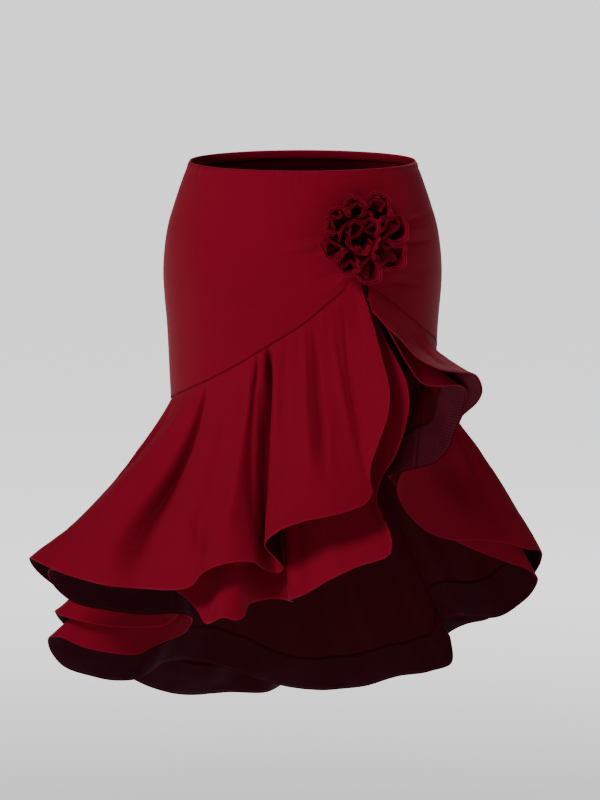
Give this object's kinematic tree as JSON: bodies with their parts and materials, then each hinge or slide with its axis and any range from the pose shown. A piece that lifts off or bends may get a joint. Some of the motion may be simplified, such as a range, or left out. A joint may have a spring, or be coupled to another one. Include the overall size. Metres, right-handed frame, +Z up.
{
  "type": "latin dance skirt",
  "caption": "Hip-fitted dance skirt with a slanting hip seam, layered flounces that fall longer at the back, stiffened wavy hems and a gathered rosette at the hip.",
  "frame": {"origin": "The middle of the waist opening, level with its side edges, where the wearer holds the skirt up.", "axes": "+Z up, -Y to the front of the skirt, +X to the right of the picture, which is the wearer's left."},
  "size_m": [0.57, 0.4498, 0.6484],
  "materials": {
    "crepe": "satin-matt",
    "braid": "mesh"
  },
  "bodies": {
    "root": {"yoke_front": "crepe", "yoke_back": "crepe", "top_flounce_left_front": "crepe", "top_flounce_back": "crepe", "top_flounce_right_front": "crepe", "under_flounce_left_front": "crepe", "under_flounce_back": "crepe", "under_flounce_right_front": "crepe", "top_braid_left_front": "braid", "top_braid_back": "braid", "top_braid_right_front": "braid", "under_braid_left_front": "braid", "under_braid_back": "braid", "under_braid_right_front": "braid", "rosette": "crepe"}
  },
  "joints": []
}
